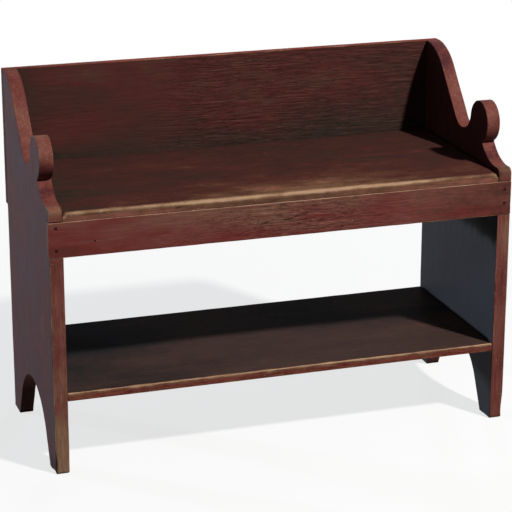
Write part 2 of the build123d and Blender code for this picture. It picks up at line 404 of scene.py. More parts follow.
def end_mesh(side, seed, nails):
    """An end board's shell. side is -1 on the left and 1 on the right; nails are (y, z) on its outer face."""
    path = outline(side)
    normal, lengths, turn = inward(path)
    at = np.c_[np.full(len(path), side * 500.0), path]
    foot = fade(22, 62, path[:, 1]) * (path[:, 0] < 40)
    step = smooth(STEP_TOP - 14, STEP_TOP - 4, path[:, 1]) * fade(25, 60, path[:, 0])
    worn = 1.4 + 0.5 * fractal(at, 40, seed) + 0.8 * step
    outer_round = turn_limit(worn + 5.4 * foot, lengths, turn)
    inner_round = turn_limit(worn - (1.1 + 0.7 * (side > 0)) * step + 2.0 * foot, lengths, turn)
    half = END_THICK / 2

    rings = []  # (x from the board's middle, outwards; then y, z)
    for face, radius in ((-1, inner_round), (1, outer_round)):
        made = []
        for angle in RING_ANGLES:
            shift = radius * (1 - math.cos(angle))
            x = face * (half - radius * (1 - math.sin(angle)))
            made.append(np.c_[x, path + normal * shift[:, None]])
        rings += made[::-1] if face < 0 else made
    inner_start, outer_start = rings[len(RING_ANGLES) - 1], rings[len(RING_ANGLES)]
    between = [inner_start + (outer_start - inner_start) * t for t in np.linspace(0, 1, 8)[1:-1]]
    rings = rings[: len(RING_ANGLES)] + between + rings[len(RING_ANGLES):]

    count = len(path)
    points = np.vstack(rings)
    faces, last = [], (len(rings) - 1) * count
    for r in range(0, last, count):
        for i in range(count):
            j = (i + 1) % count
            faces.append((r + i, r + j, r + count + j, r + count + i))
    for start, x in ((0, -half), (last, half)):
        loop = points[start:start + count, 1:]
        inner = fill_points(path, normal, nails if x > 0 else (), seed)
        spots = [Vector(p) for p in np.vstack([loop, inner])]
        found, _, triangles, sources, _, _ = delaunay_2d_cdt(spots, [], [list(range(count))], 1, 1e-4)
        ids, extra = {}, []
        for t in triangles:
            for v in t:
                if v not in ids:
                    source = [s for s in sources[v] if s < count]
                    if source:
                        ids[v] = start + source[0]
                    else:
                        ids[v] = len(points) + len(extra)
                        extra.append((x, *found[v]))
        faces += [tuple(ids[v] for v in t) for t in triangles]
        points = np.vstack([points, extra])
    taper = FOOT_TAPER * fade(4, 95, points[:, 2]) * fade(4, 40, points[:, 1])
    points[:, 0] -= taper * (points[:, 0] / half).clip(0)
    middle = side * (INNER_X + half)
    placed = np.c_[middle + side * points[:, 0], points[:, 1] + FRONT, points[:, 2]]
    return placed, faces


def fill_points(path, normal, nails, seed):
    """Points inside the outline for a flat face: an uneven grid, rings at nails, bands along the edge."""
    ys, zs = np.meshgrid(np.arange(8, END_DEPTH, GRID_STEP), np.arange(8, BACK_HIGH[2], GRID_STEP))
    grid = np.c_[ys.ravel(), zs.ravel()]
    at = np.c_[grid, grid[:, :1]]
    grid += 2.0 * np.c_[noise(at, 7, seed), noise(at, 7, seed + 5)]
    rings = [on_circle(n, r, a) for n in nails for r in NAIL_RINGS for a in range(0, 360, 30)]
    inner = np.array([*grid, *rings])
    spots = [inner[outline_distance(inner, path) > GRID_START]]
    for distance in BANDS:
        band = path + normal * distance
        spots.append(band[outline_distance(band, path) > 0.93 * distance])
    return thinned(np.vstack(spots))


def thinned(spots, gap=0.7):
    """The points without those that share a small cell with an earlier one."""
    _, first = np.unique(np.round(spots / gap).astype(int), axis=0, return_index=True)
    return spots[np.sort(first)]


def outline_distance(spots, path):
    """Distance from each (y, z) to the outline."""
    after = np.roll(path, -1, 0)
    run = after - path
    best = np.full(len(spots), 1e9)
    for a, d in zip(path, run):
        t = np.clip(((spots - a) @ d) / (d @ d), 0, 1)
        best = np.minimum(best, np.hypot(*(spots - a - t[:, None] * d).T))
    return best


def make_end(name, side, seed):
    low, high = node_box(name)
    nails = [p for n in ("seat_end_nails", "shelf_end_nails") for p in nail_places(n, 0) if p[0] * side > 0]
    piece = new_mesh(name + "_wood", *end_mesh(side, seed, [(p[1] - FRONT, p[2]) for p in nails]))
    outer_x = high[0] if side > 0 else low[0]

    def depth(points, normals):
        flat = abs(normals[:, 0]) > FACING
        outer = abs(points[:, 0] - outer_x) < 3
        z = points[:, 2]
        waves = 0.15 * (1 + fractal(points, (60, 90, 260), seed + 9))
        planed = 0.1 * (1 + noise(points, (50, 13, 400), seed + 12))
        ridges = 0.16 * creases(points, (30, 7, 60), seed + 15)
        bumps = 0.06 * (1 + fractal(points, (9, 14, 18), seed + 20))
        edge = np.minimum(abs(points[:, 0]) - INNER_X, INNER_X + END_THICK - abs(points[:, 0]))
        nicked = smooth(0.55, 0.85, fractal(points, (7, 7, 12), seed + 30)) * ~flat
        nicks = 0.8 * nicked * np.exp(-edge.clip(0) / 2)
        dips = dents(points, nails, (1, 2), 5.0, 0.55) * outer * flat
        return ((waves + planed + ridges) * flat + bumps + nicks) * smooth(0, 6, z) + dips

    carve(piece, depth, low, high)
    xs = sorted((side * (INNER_X - 3), side * (SEAT_HIGH[0] + HOUSING_SPARE)))
    for board_low, board_high in ((SEAT_LOW, SEAT_HIGH), (SHELF_LOW, SHELF_HIGH)):
        cut_low = (xs[0], FRONT + HOUSING_STOP, board_low[2] - HOUSING_SPARE)
        cut_high = (xs[1], REAR + 5, board_high[2] - HOUSING_COVER)
        combine(piece, plain_box(cut_low, cut_high), "DIFFERENCE")
    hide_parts(name)
    return piece


# ---- boards

def finish_piece(piece, material):
    """Puts a piece on the body and gives it its material."""
    piece.data.materials.clear()
    piece.data.materials.append(material)
    piece.data.shade_smooth()
    weighted = piece.modifiers.new("normals", "WEIGHTED_NORMAL")
    weighted.keep_sharp = True
    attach(piece, "root")


def make_back():
    low, high = BACK_LOW, BACK_HIGH
    nails = nail_places("back_end_nails", 1) + nail_places("back_seat_nails", 1)
    xs = stops(low[0], high[0], 9, near={round(n[0], 1) for n in nails}, band=DENT_BAND)
    ys = stops(low[1], high[1], 6)
    zs = stops(low[2], high[2], 1.25)
    points, faces = shell(xs, ys, zs)
    radius = 1.5 + 0.5 * fractal(points, 45, 31)
    piece = new_mesh("back_board_wood", rounded(points, low, high, radius), faces)

    def depth(points, normals):
        front = normals[:, 1] < -FACING
        ridges = 0.7 * creases(points, (64, 9, 4.4), 33, 0.42) + 0.18 * (1 + noise(points, (80, 9, 4.8), 34))
        rightwards = smooth(-260, -40, points[:, 0])
        grained = 0.14 + 0.86 * smooth(-0.2, 0.7, 0.6 * fractal(points, (200, 50, 70), 35) + 0.7 * rightwards)
        waves = 0.18 * (1 + fractal(points, (300, 60, 70), 36))
        bumps = 0.08 * (1 + fractal(points, (12, 9, 7), 37))
        dips = dents(points, nails, (0, 2), 5.0, 0.6) * (normals[:, 1] > FACING)
        broad = abs(normals[:, 1]) > FACING
        return ridges * grained * (front + 0.4 * ~front) + waves * broad + bumps + dips

    carve(piece, depth, low, high)
    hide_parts("back_board")
    return piece


APRON_MARKS = ((-433.0, 0, 526.7), (125.8, 0, 507.0))  # small round dents in the front


def make_apron():
    low, high = APRON_LOW, APRON_HIGH
    nails = nail_places("apron_nails", 1)
    xs = stops(low[0], high[0], 10, near={round(p[0], 1) for p in (*nails, *APRON_MARKS)})
    ys = stops(low[1], high[1], 6)
    zs = stops(low[2], high[2], 1.2, near={round(p[2], 1) for p in (*nails, *APRON_MARKS)}, band=APRON_BAND)
    points, faces = shell(xs, ys, zs)
    radius = 1.0 + 0.4 * fractal(points, 40, 51) + 0.25 * noise(points, 9, 52)
    piece = new_mesh("apron_wood", rounded(points, low, high, radius), faces)

    def depth(points, normals):
        centre = patch(points, (20, 0, 0), (240, None, None))
        grained = 0.1 + 0.9 * smooth(-0.2, 0.8, 0.15 + 0.5 * fractal(points, (160, 50, 30), 54) + centre)
        ridges = 0.36 * creases(points, (42, 9, 4.2), 53, 0.4) + 0.07 * (1 + noise(points, (60, 9, 4.0), 57))
        waves = 0.22 * (1 + fractal(points, (180, 60, 50), 55)) * (abs(normals[:, 1]) > FACING)
        bumps = 0.06 * (1 + fractal(points, (10, 9, 7), 56))
        holes = sum(pit(points[:, 0] - n[0], points[:, 2] - n[2], 2.3, 2.7, 1.9) for n in nails)
        dips = dents(points, nails, (0, 2), 7.0, 0.25)
        marks = dents(points, APRON_MARKS, (0, 2), 2.4, 1.5)
        return ridges * grained + waves + bumps + (holes + dips + marks) * (points[:, 1] < FRONT + 3)

    carve(piece, depth, low, high)
    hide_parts("apron")
    return piece


def housed_board(name, low, high, front_round, corner_round, step, seed, extra_y=()):
    """A board between the ends, and the box of the tongues that enter their housings."""
    reach = INNER_X - NOSE_GAP
    body_low, body_high = np.array([-reach, low[1], low[2]]), np.array([reach, high[1], high[2]])
    first = ROUND_BAND if front_round > 4 else EDGE_BAND
    xs = stops(-reach, reach, 12, first=ROUND_BAND, last=ROUND_BAND)
    ys = stops(low[1], high[1], step, first=first, near=extra_y, band=DENT_BAND)
    zs = stops(low[2], high[2], 3, last=first)
    points, faces = shell(xs, ys, zs)
    end = reach - abs(points[:, 0])
    front = points[:, 1] - low[1]
    under = high[2] - points[:, 2]
    along = corner_round + (front_round - corner_round) * smooth(0, 16, end)
    along *= 1 + 0.1 * fractal(points * (1, 0, 0), 50, seed)
    below = points[:, 2] - low[2]
    upright = SHARP_ROUND + (corner_round - SHARP_ROUND) * smooth(0.62, 0.98, below / (high[2] - low[2]))
    beside = BASE_ROUND + (corner_round - BASE_ROUND) * fade(2, 26, front)
    sharp = (front < 3) & ((below < 3) | (end < 3))
    radius = np.where(sharp, SHARP_ROUND, BASE_ROUND + 0.4 * fractal(points, 40, seed + 1))
    for a, b, wanted in ((front, under, along), (front, end, upright), (end, under, beside)):
        radius = np.maximum(radius, np.where(np.maximum(a, b) <= wanted + 0.05, wanted, 0))
    piece = new_mesh(name + "_wood", rounded(points, body_low, body_high, radius), faces)
    tongue_low = np.array([low[0], FRONT + HOUSING_STOP, low[2]]) + TONGUE_INSET[0]
    return piece, (tongue_low, high - TONGUE_INSET[1])


SEAT_PITS = [(x, 0, z) for x, z in ((-245.8, 583), (-172, 580.6), (-60, 579), (118, 581.5), (231, 580))]


def make_seat():
    nails = nail_places("seat_apron_nails", 2)
    piece, tongue = housed_board(
        "seat_board", SEAT_LOW, SEAT_HIGH, SEAT_ROUND, SEAT_CORNER, 2.6, 71, extra_y=[nails[0][1]]
    )

    def depth(points, normals):
        up = abs(normals[:, 2]) > FACING
        front = fade(FRONT + 5, FRONT + 60, points[:, 1])
        ridges = 0.07 * (1 + noise(points, (70, 5.0, 9), 73)) + 0.14 * creases(points, (60, 6.5, 9), 77)
        waves = 0.2 * (1 + fractal(points, (220, 80, 60), 74)) * up
        scuffs = 0.07 * (1 + fractal(points, (26, 9, 7), 75)) * front
        chips = 0.8 * smooth(0.62, 0.85, fractal(points, (9, 7, 5), 76)) * (points[:, 1] < FRONT + 12)
        dips = dents(points, nails, (0, 1), 4.0, 0.5) * (normals[:, 2] > 0.5)
        pits = dents(points, SEAT_PITS, (0, 2), 3.2, 1.3) * (points[:, 1] < FRONT + 6)
        return ridges + waves + scuffs + chips + dips + pits

    carve(piece, depth, SEAT_LOW, SEAT_HIGH)
    combine(piece, plain_box(*tongue), "UNION")
    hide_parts("seat_board")
    return piece


def make_shelf():
    piece, tongue = housed_board("lower_shelf", SHELF_LOW, SHELF_HIGH, SHELF_ROUND, SHELF_CORNER, 6.0, 91)

    def depth(points, normals):
        up = abs(normals[:, 2]) > FACING
        ridges = 0.06 * (1 + noise(points, (80, 12.0, 9), 93)) * up
        waves = 0.2 * (1 + fractal(points, (220, 80, 60), 94)) * up
        scuffs = 0.15 * (1 + fractal(points, (18, 9, 6), 95)) * (points[:, 1] < FRONT + 12)
        return ridges + waves + scuffs

    carve(piece, depth, SHELF_LOW, SHELF_HIGH)
    combine(piece, plain_box(*tongue), "UNION")
    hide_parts("lower_shelf")
    return piece


# ---- coats
# What the paint shader reads at each point. Rubbed, dirty and light places are where the photo has them.

# Some dirty places in the coats below are painted shade, some rubbed ones painted highlights, and some pale
# ones painted light; each is marked where it is made.
def set_coat(piece, wear_and_highlight, grime_and_shade, tone, grooves):
    """Stores how rubbed each point is, painted highlights included, how dirty, painted shade included,
    its place on the paint's ramp, and how grooved it is.

    A tone below 0 keeps the ramp's first colour and makes it paler: painted light."""
    layer = piece.data.attributes.new("coat", "FLOAT_COLOR", "POINT")
    values = np.c_[wear_and_highlight, grime_and_shade, tone, grooves].astype(np.float32)
    layer.data.foreach_set("color", values.ravel())


def arris_wear(points, edge, seed, width=1.5):
    """Paint lost along the arrises, more in some places than in others."""
    return (0.72 + 0.5 * fractal(points, 60, seed)) * np.exp(-edge / width)


def coat_end(piece, side, seed):
    """side is -1 on the left, where the front edge is rubbed down to tan wood, and 1 on the right."""
    points = points_of(piece)
    x, y, z = points.T
    left, right = side < 0, side > 0
    tanned = 0.25 * left
    inner_gap, outer_gap = abs(abs(x) - INNER_X), abs(abs(x) - INNER_X - END_THICK)
    to_outline = outline_distance(points[:, 1:] - (FRONT, 0), outline(side))
    faces = np.minimum(inner_gap, outer_gap)
    band = fade(1.5, 3.5, to_outline) * smooth(0.2, 1.2, faces)
    front = fade(30, 60, y - FRONT)
    low = fade(20, 230, z + 30 * fractal(points, (20, 20, 60), seed + 4))
    block = smooth(STEP_TOP - 24, STEP_TOP - 10, z) * fade(16, 30, y - FRONT) * (z < STEP_TOP + 6)
    # cove_shade: the cove below the knob, darkened as painted shade
    cove_shade = smooth(STEP_TOP + 1, STEP_TOP + 12, z) * fade(655, 690, z) * (y < FRONT + 80)
    # knob_highlight: a painted highlight on the left knob's front, made as paler, rubbed paint
    knob_highlight = patch(points, (0, FRONT + KNOB[0] - 43, KNOB[1] + 17), (None, 26, 24))
    inside = inner_gap < 1.5

    wear_and_highlight = arris_wear(points, np.maximum(faces, to_outline), seed) * np.where(inner_gap < 3, 0.6, 1)
    wear_and_highlight += 0.5 * np.exp(-outer_gap / 2.6) * band * front
    # knob_highlight adds a painted highlight as rubbed paint.
    wear_and_highlight += band * (0.9 * tanned * low * front + 0.06 * block + 0.4 * tanned * knob_highlight)
    wear_and_highlight *= 1 - 0.8 * fade(28, 60, z) * (outer_gap < 7)

    # Inner faces: the ramp's blue-grey start below the seat is a painted bluish sheen; red above it.
    tone = np.where(inside, np.where(z > SEAT_LOW[2], 0.4, 0.04), 0.32)
    tone += 0.07 * fractal(points, (45, 45, 70), seed + 7) * (1 - 0.6 * inside)
    bay = inside * (z > SHELF_TOP) * (z < SEAT_LOW[2]) * right
    tone -= 0.72 * bay * fade(195, 330, z + 0.52 * y)  # painted light: paler paint where the lamps leave the lower bay darker
    leg = 0.06 * smooth(150, 330, z) if right else 0.1 - 0.08 * patch(points, (0, 0, 325), (None, None, 60))
    cap = leg * fade(440, 520, z) + 0.11 * left * patch(points, (0, 0, 722), (None, None, 42))
    # knob_highlight raises the tone there: painted highlight.
    cap += 0.4 * tanned * knob_highlight + (0.13 + 0.08 * right) * block
    # The cove_shade term here is painted shade.
    cap += 1.35 * tanned * low * front - 0.05 * smooth(758, 785, z) - (0.03 + 0.07 * right) * cove_shade
    tone = tone * (1 - band) + band * (0.56 + cap + 0.1 * fractal(points, (60, 60, 120), seed + 3))

    grime_and_shade = band * 0.4 * fade(0, 12, z) + 0.25 * (to_outline < 2) * (z < 150) * (y > FRONT + 58)
    # The cove_shade term here is painted shade.
    grime_and_shade += (0.16 + 0.25 * right) * band * block + 0.1 * right * band * cove_shade
    grime_and_shade += 0.5 * fade(24, 46, z) * np.exp(-outer_gap / 3.5) * front
    # painted shade: the inner faces above the seat, and the wedge under the apron in the bay
    grime_and_shade += 0.3 * inside * (z > SEAT_LOW[2]) + 0.9 * bay * smooth(400, 462, z)
    set_coat(piece, wear_and_highlight, grime_and_shade, tone, 0.25 + 0.25 * band)


BACK_BLOTS = (
    (0.2, (20, 0, 740), (190, None, 60)), (0.16, (300, 0, 690), (160, None, 60)),
    (-0.05, (-60, 0, 640), (130, None, 30)), (-0.12, (380, 0, 640), (180, None, 60)),
)


def coat_back(piece):
    points = points_of(piece)
    x, y, z = points.T
    low, high = BACK_LOW, BACK_HIGH
    uneven = fractal(points, (120, 50, 30), 301)
    front = y < low[1] + 4
    seam = front * fade(SEAT_TOP - 10, SEAT_TOP + 52 + 26 * uneven, z)
    # left: a darker strip beside the left end, painted shade of that end, in tone and grime_and_shade.
    left = front * fade(-INNER_X - 5, -INNER_X + 95 + 40 * uneven, x)
    above = z > high[2] - 1.6
    tone = 0.5 + 0.1 * fractal(points, (150, 50, 50), 302) - 0.15 * left - 0.2 * seam
    tone += 0.1 * smooth(high[2] - 60, high[2] - 10, z + 14 * uneven) - 0.05 * smooth(80, 260, x)
    tone += blots(points, BACK_BLOTS)
    plain_top = above * fade(-330, -200, x)
    tone = np.where(above, 1.1 - 0.1 * plain_top, tone)
    corner = (y - low[1]) + (high[2] - z)
    rubbed = 0.1 + 0.8 * smooth(-340, -180, x) + 0.55 * fractal(points, (50, 30, 30), 305)
    wear_and_highlight = 0.4 * arris_wear(points, box_edge(points, low, high), 303)
    wear_and_highlight += 0.8 * rubbed * np.exp(-corner / 2.6) * front
    wear_and_highlight *= 1 - 0.7 * plain_top
    grooves = 0.16 + 0.64 * smooth(-260, -40, x) + 0.15 * fractal(points, (130, 50, 50), 304)
    # 0.28 * left is painted shade.
    set_coat(piece, wear_and_highlight, 0.3 * seam + 0.28 * left + 0.22 * plain_top, tone, grooves.clip(0.05, 1))


SEAT_LOST = (  # how far the paint is gone, by the distance around the front edge from its face to the top
    (-16, 0.28), (-9, 0.42), (-6, 0.62), (-2, 0.88), (2, 0.98), (7, 0.84), (11, 0.66), (18, 0.55),
    (34, 0.42), (60, 0.22), (130, 0.0),
)


def coat_seat(piece):
    points = points_of(piece)
    x, y, z = points.T
    back, under = y - SEAT_LOW[1], SEAT_TOP - z
    middle = np.exp(-((x - 40) / 330) ** 2)
    curl = 11 * fade(0, 13, INNER_X - NOSE_GAP - abs(x))
    round_to_back = back - under + curl + 1.5 * fractal(points, (20, 12, 12), 312)
    lost = np.interp(round_to_back, *zip(*SEAT_LOST))
    lost *= np.where(round_to_back > 14, 0.15 + 0.85 * middle, 1)
    ending = 0.26 * smooth(478, 494, x) - 0.26 * smooth(250, 420, x)
    wear_and_highlight = lost * (0.68 + 0.28 * middle + ending + 0.12 * fractal(points, (60, 30, 30), 315))
    wear_and_highlight = np.maximum(wear_and_highlight, 0.8 * arris_wear(points, box_edge(points, SEAT_LOW, SEAT_HIGH), 313))
    tone = 0.44 + 0.08 * fractal(points, (200, 50, 50), 311)
    tone += 0.13 * fractal(points, (70, 30, 30), 316) * (1 - 0.4 * smooth(100, 300, back))
    tone += (0.02 + 0.08 * smooth(-400, -150, x)) * fade(60, 330, back)
    tone += 0.31 * middle * fade(10, 170, back)
    tone += 0.02 * smooth(100, 350, x) * fade(15, 120, back)
    # Darker beside the left end: painted shade of that end, here and in grime_and_shade below.
    tone -= 0.16 * fade(-INNER_X, -INNER_X + 110, x)
    face = fade(0, 9, back) * smooth(4, 9, under)
    tone = tone * (1 - face) + face * (0.98 - 0.12 * middle + 0.06 * fractal(points, (60, 20, 20), 317))
    grime_and_shade = 0.34 * smooth(REAR - 34, REAR - 2, y + 10 * fractal(points, 60, 314))
    # painted shade beside the left end
    grime_and_shade += 0.16 * fade(-INNER_X, -INNER_X + 80, x)
    grime_and_shade += dents(points, SEAT_PITS, (0, 2), 2.9, 1.0) * (back < 4)
    set_coat(piece, wear_and_highlight, grime_and_shade, tone, 0.25 + 0.2 * middle)


# Short upright scratches: x, z.
APRON_NICKS = ((-135, 531), (-128.5, 529), (-121, 530), (-114.5, 528), (-106, 529), (-103, 531.5))
APRON_BLOTS = (
    (0.3, (-20, 0, 556), (260, None, 60)), (0.16, (-500, 0, 574), (55, None, 22)),
    (0.1, (-240, 0, 560), (110, None, 22)),
)


def coat_apron(piece):
    points = points_of(piece)
    x, _, z = points.T
    rise = (z - APRON_LOW[2]) / (APRON_HIGH[2] - APRON_LOW[2])
    uneven = fractal(points, (90, 50, 20), 321)
    tone = 0.35 + 0.13 * uneven + 0.12 * (rise - 0.5) + 0.11 * smooth(100, 300, x)
    tone += blots(points, APRON_BLOTS)
    edge = box_edge(points, APRON_LOW, APRON_HIGH)
    centre = patch(points, (20, 0, 560), (260, None, None))
    wear_and_highlight = 0.6 * arris_wear(points, edge, 322, 1.3) + 0.12 * patch(points, (20, 0, 560), (200, None, 40))
    # The pale line along the top arris is worn paint and a painted highlight.
    wear_and_highlight += (0.78 + 0.26 * centre) * (rise > 0.94) * np.exp(-edge / 1.3)
    wear_and_highlight += 0.35 * (rise < 0.05) * np.exp(-edge / 1.6)
    scratches = sum(patch(points, (x0, 0, z0), (0.9, None, 5.5)) for x0, z0 in APRON_NICKS)
    grooves = 0.12 + 0.85 * patch(points, (30, 0, 540), (260, None, 60)) + 0.1 * uneven
    grime_and_shade = dents(points, APRON_MARKS, (0, 2), 3.0, 1.3) + 0.3 * smooth(180, 420, x)
    grime_and_shade += dents(points, nail_places("apron_nails", 1), (0, 2), 4.8, 0.8)
    set_coat(piece, wear_and_highlight + 0.7 * scratches, grime_and_shade, tone, grooves.clip(0.05, 1))


def coat_shelf(piece):
    points = points_of(piece)
    x, y, z = points.T
    back, under = y - SHELF_LOW[1], SHELF_TOP - z
    front = fade(0.8, 2.4, back)
    # Lower and bluer tone at the rear: painted shadow of the apron and seat.
    tone = 0.47 + 0.09 * fractal(points, (220, 60, 50), 331) - 0.26 * smooth(150, 300, back)
    tone += 0.1 * smooth(-450, -100, x) - 0.13 * fade(-450, -200, x)
    tone = tone * (1 - front) + front * (0.97 + 0.08 * fractal(points, (60, 20, 20), 332))
    wear_and_highlight = arris_wear(points, box_edge(points, SHELF_LOW, SHELF_HIGH), 333, 1.3) + 0.22 * front
    wear_and_highlight += (0.85 + 0.5 * fractal(points, (26, 20, 20), 334)) * np.exp(-(back + under) / 4.6)
    set_coat(piece, wear_and_highlight, np.zeros(len(points)), tone, 0.15 + 0.75 * front)


# ---- shader nodes

class Shader:
    """The nodes of a material or a world, with a method for each kind that the paints use."""

    def __init__(self, owner):
        owner.use_nodes = True
        self.owner, self.tree = owner, owner.node_tree

    def make(self, kind, inputs=(), **settings):
        node = self.tree.nodes.new("ShaderNode" + kind)
        for name, value in settings.items():
            setattr(node, name, value)
        for key, value in dict(inputs).items():
            self.put(node.inputs[key], value)
        return node

    def put(self, socket, value):
        if isinstance(value, bpy.types.NodeSocket):
            self.tree.links.new(value, socket)
        else:
            socket.default_value = (*value, 1) if socket.type == "RGBA" else value

    def set(self, name, value):
        """Sets an input of the material's surface."""
        self.put(self.surface.inputs[name], value)

    def math(self, operation, a, b=0.0):
        return self.make("Math", {0: a, 1: b}, operation=operation).outputs[0]

    def add(self, *values):
        total = values[0]
        for value in values[1:]:
            total = self.math("ADD", total, value)
        return total

    def times(self, *values):
        total = values[0]
        for value in values[1:]:
            total = self.math("MULTIPLY", total, value)
        return total

    def swing(self, value, amount):
        """A 0 to 1 value as a change of up to half of amount either way."""
        return self.times(self.math("SUBTRACT", value, 0.5), amount)

    def vector(self, operation, inputs):
        return self.make("VectorMath", inputs, operation=operation).outputs[0]

    def step(self, value, low, high, start=0.0):
        inputs = {"Value": value, "From Min": low, "From Max": high, "To Min": start}
        return self.make("MapRange", inputs, interpolation_type="SMOOTHSTEP").outputs[0]

    def noise(self, size, detail=2.0, roughness=0.5, shift=0.0, place=None):
        """Noise from 0 to 1 that changes over size, in millimetres along x, y and z."""
        scale = tuple(1 / (s * MM) for s in size)
        inputs = {"Vector": place or self.place, "Location": (shift,) * 3, "Scale": scale}
        moved = self.make("Mapping", inputs)
        inputs = {"Vector": moved.outputs[0], "Scale": 1.0, "Detail": detail, "Roughness": roughness}
        return self.make("TexNoise", inputs).outputs[0]

    def waved(self, reach, size):
        """Object coordinates that wander by up to reach over size, both in millimetres."""
        source = self.make("TexNoise", {"Vector": self.place, "Scale": 1 / (size * MM), "Detail": 1.0})
        centred = self.vector("SUBTRACT", {0: source.outputs["Color"], 1: (0.5, 0.5, 0.5)})
        scaled = self.vector("SCALE", {0: centred, "Scale": reach * MM})
        return self.vector("ADD", {0: self.place, 1: scaled})

    def ramp(self, value, colours):
        """A colour from a row of (position, colour)."""
        node = self.make("ValToRGB", {0: value})
        row = node.color_ramp.elements
        while len(row) < len(colours):
            row.new(0.5)
        for spot, (position, colour) in zip(row, colours):
            spot.position, spot.color = position, (*colour, 1)
        return node.outputs[0]

    def mix(self, factor, a, b):
        return self.make("Mix", {0: factor, 6: a, 7: b}, data_type="RGBA").outputs[2]

    def bump(self, height, distance, strength=1.0):
        inputs = {"Height": height, "Distance": distance * MM, "Strength": strength}
        return self.make("Bump", inputs).outputs[0]

    def seen_ray(self):
        """Camera, glossy and transmission rays together: 1 where the background itself is seen."""
        path = self.make("LightPath")
        total = path.outputs["Is Camera Ray"]
        for name in ("Is Glossy Ray", "Is Transmission Ray"):
            total = self.math("MAXIMUM", total, path.outputs[name])
        return total


def new_material(name):
    s = Shader(bpy.data.materials.new(name))
    s.surface = next(n for n in s.tree.nodes if n.type == "BSDF_PRINCIPLED")
    s.place = s.make("TexCoord").outputs["Object"]
    return s


def grain(axis, along, across):
    """Noise size that is long along one axis."""
    return tuple(along if a == axis else across for a in range(3))


WOOD = (0.46, 0.29, 0.175)
WOOD_DARK = (0.3, 0.18, 0.105)
THIN_PAINT = (0.17, 0.08, 0.052)
GRIME_AND_SHADE = (0.017, 0.0145, 0.0115)
RUST = (0.055, 0.016, 0.012)
RUST_DARK = (0.016, 0.006, 0.005)


def painted_wood(
    name, axis, colours, thin=THIN_PAINT, wood=(WOOD_DARK, WOOD), gloss=0.04, shift=0.0,
    lines=1.0, plain=0.75, contrast=0.6, ragged=1.0, strand=44, cloudy=0.36, mottle=0.24, chipped=0.55,
):
    """Old paint over pine with its grain along axis. colours is the ramp that the coat's tone picks from.

    lines is for the scratches; plain and contrast are for the strands, on smooth and on grooved wood."""
    s = new_material(name)
    coat = s.make("Attribute", attribute_name="coat")
    wear_and_highlight, grime_and_shade, tone = s.make("SeparateColor", {0: coat.outputs["Color"]}).outputs
    grooved = coat.outputs["Alpha"]
    waved = s.waved(7, 70)
    cloud = s.noise(grain(axis, 210, 80), 3, 0.55, shift)
    streak = s.noise(grain(axis, 120, 8), 4, 0.6, shift + 3, waved)
    fine = s.noise(grain(axis, 62, 4.0), 2, 0.55, shift + 5, waved)
    hair = s.noise(grain(axis, strand, 2.0), 2, 0.5, shift + 9, waved)
    blot = s.noise((24, 24, 24), 4, 0.62, shift + 7)
    speck = s.noise((2.4, 2.4, 2.4), 2, 0.5, shift + 11)

    groove = s.times(s.step(s.math("ABSOLUTE", s.math("SUBTRACT", fine, 0.5)), 0.045, 0.0), grooved)
    streaked = s.swing(streak, s.add(0.14, s.times(grooved, 0.32)))
    colour = s.ramp(s.add(tone, s.swing(cloud, cloudy), streaked, s.swing(blot, mottle)), colours)
    fleck = s.add(
        s.swing(hair, 0.5), s.swing(fine, 0.4), s.swing(streak, 0.2), s.swing(speck, 0.22),
        s.times(groove, -0.42),
    )
    # A tone below 0 makes the colour paler: painted light, used in the right end's lower bay.
    painted_light = s.times(s.math("MINIMUM", tone, 0.0), -1.0)
    shade = s.add(1.0, s.times(fleck, s.add(plain, s.times(grooved, contrast))), painted_light)
    shaded = s.vector("SCALE", {0: colour, "Scale": shade})
    # dirt_and_shade: dirt and painted shade from the coat; it darkens the colour towards GRIME_AND_SHADE and
    # dulls the gloss.
    dirt_and_shade = s.step(s.add(grime_and_shade, s.swing(blot, 0.5), s.swing(streak, 0.5)), 0.12, 0.62)
    colour = s.mix(s.times(dirt_and_shade, 0.85), shaded, GRIME_AND_SHADE)

    spots = s.step(s.noise((3.4, 3.4, 3.4), 1, 0.5, shift + 13), 0.7, 0.75)
    chips = s.times(spots, s.times(s.add(0.35, grooved), chipped))
    uneven = s.add(s.swing(blot, 0.55), s.swing(fine, 0.35), s.swing(hair, 0.3), s.swing(speck, 0.3))
    # wear_and_highlight brings painted highlights into the rubbed and bared paint.
    broken = s.add(wear_and_highlight, chips, s.times(uneven, ragged))
    rubbed, bared = s.step(broken, 0.26, 0.56), s.step(broken, 0.5, 0.92)
    scratched = s.times(s.step(hair, 0.58, 0.72), grooved, 0.3 * lines)
    colour = s.mix(s.math("MAXIMUM", s.times(rubbed, 0.85), scratched), colour, thin)
    colour = s.mix(bared, colour, s.mix(s.step(streak, 0.35, 0.65), *wood))
    s.set("Base Color", colour)
    s.set("Roughness", s.add(0.44, s.times(streak, 0.16), s.times(bared, 0.18), s.times(speck, 0.08)))
    s.set("Specular IOR Level", s.times(s.add(1.0, s.times(dirt_and_shade, -0.8)), gloss))
    height = s.add(
        s.times(groove, -0.8), s.times(hair, 0.35), s.times(streak, 0.5), s.times(speck, 0.12),
        s.times(bared, -0.3),
    )
    s.set("Normal", s.bump(s.times(height, s.add(0.5, s.times(grooved, 0.7))), 0.45, 0.9))
    return s.owner


def rusty_iron():
    s = new_material("rusty_iron")
    rust = s.noise((2.5, 2.5, 2.5), 4, 0.65)
    s.set("Base Color", s.mix(s.step(rust, 0.4, 0.62), RUST_DARK, RUST))
    s.set("Roughness", s.add(0.55, s.times(rust, 0.3)))
    s.set("Specular IOR Level", 0.06)
    s.set("Normal", s.bump(rust, 0.4))
    return s.owner


